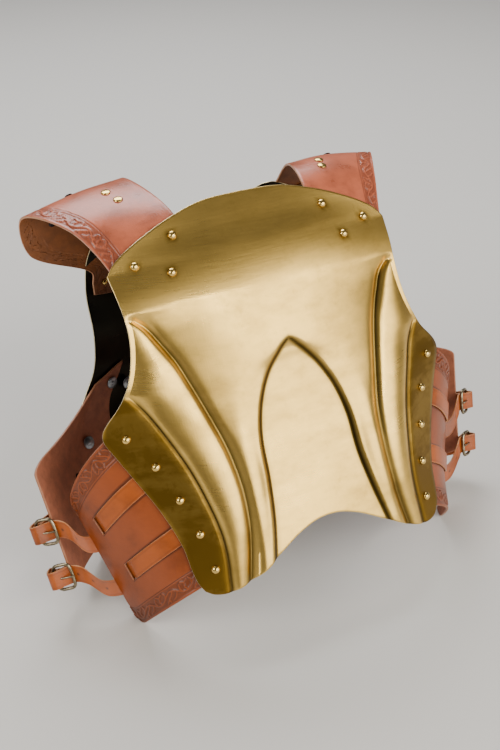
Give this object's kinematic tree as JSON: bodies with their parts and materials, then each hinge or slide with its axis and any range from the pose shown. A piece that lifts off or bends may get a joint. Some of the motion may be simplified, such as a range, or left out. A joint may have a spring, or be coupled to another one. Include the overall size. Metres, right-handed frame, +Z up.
{
  "type": "cuirass",
  "caption": "Fluted brass breastplate and backplate joined by leather shoulder straps and by buckled belts and tooled leather panels at the sides.",
  "frame": {"origin": "middle of the underside of the bounding box, on the surface that the cuirass rests on", "axes": "+X to the image's right, +Y from the chest to the back, +Z up; the torso leans back 34.6 degrees about X"},
  "size_m": [0.6258, 0.3774, 0.4445],
  "materials": {
    "brass_plate": "brushed, with darkened flutes",
    "brass_rivet": "polished",
    "steel_rivet": "dull",
    "blackened_stud": "blackened, glossy",
    "aged_brass": "aged",
    "belt_leather": "waxed",
    "strap_leather": "waxed, tooled",
    "side_leather": "waxed, tooled"
  },
  "bodies": {
    "root": {"shoulder_rivet_1_l": "brass_rivet", "shoulder_rivet_2_l": "brass_rivet", "shoulder_rivet_3_l": "brass_rivet", "side_rivet_1_l": "brass_rivet", "side_rivet_2_l": "brass_rivet", "side_rivet_3_l": "brass_rivet", "side_rivet_4_l": "brass_rivet", "side_rivet_5_l": "brass_rivet", "back_rivet_1_l": "brass_rivet", "back_rivet_2_l": "brass_rivet", "back_rivet_3_l": "brass_rivet", "flap_rivet_1_l": "steel_rivet", "flap_rivet_2_l": "steel_rivet", "flap_rivet_3_l": "steel_rivet", "crest_rivet_1_l": "brass_rivet", "crest_rivet_2_l": "brass_rivet", "strap_stud_1_l": "blackened_stud", "strap_stud_2_l": "blackened_stud", "prong_upper_l": "aged_brass", "buckle_upper_l": "aged_brass", "chape_upper_l": "belt_leather", "belt_upper_l": "belt_leather", "prong_lower_l": "aged_brass", "buckle_lower_l": "aged_brass", "chape_lower_l": "belt_leather", "belt_lower_l": "belt_leather", "shoulder_strap_l": "strap_leather", "side_panel_l": "side_leather", "back_flap_l": "side_leather", "shoulder_rivet_1_r": "brass_rivet", "shoulder_rivet_2_r": "brass_rivet", "shoulder_rivet_3_r": "brass_rivet", "side_rivet_1_r": "brass_rivet", "side_rivet_2_r": "brass_rivet", "side_rivet_3_r": "brass_rivet", "side_rivet_4_r": "brass_rivet", "side_rivet_5_r": "brass_rivet", "back_rivet_1_r": "brass_rivet", "back_rivet_2_r": "brass_rivet", "back_rivet_3_r": "brass_rivet", "flap_rivet_1_r": "steel_rivet", "flap_rivet_2_r": "steel_rivet", "flap_rivet_3_r": "steel_rivet", "crest_rivet_1_r": "brass_rivet", "crest_rivet_2_r": "brass_rivet", "strap_stud_1_r": "blackened_stud", "strap_stud_2_r": "blackened_stud", "prong_upper_r": "aged_brass", "buckle_upper_r": "aged_brass", "chape_upper_r": "belt_leather", "belt_upper_r": "belt_leather", "prong_lower_r": "aged_brass", "buckle_lower_r": "aged_brass", "chape_lower_r": "belt_leather", "belt_lower_r": "belt_leather", "shoulder_strap_r": "strap_leather", "side_panel_r": "side_leather", "back_flap_r": "side_leather", "breastplate": "brass_plate", "backplate": "brass_plate"}
  },
  "joints": []
}
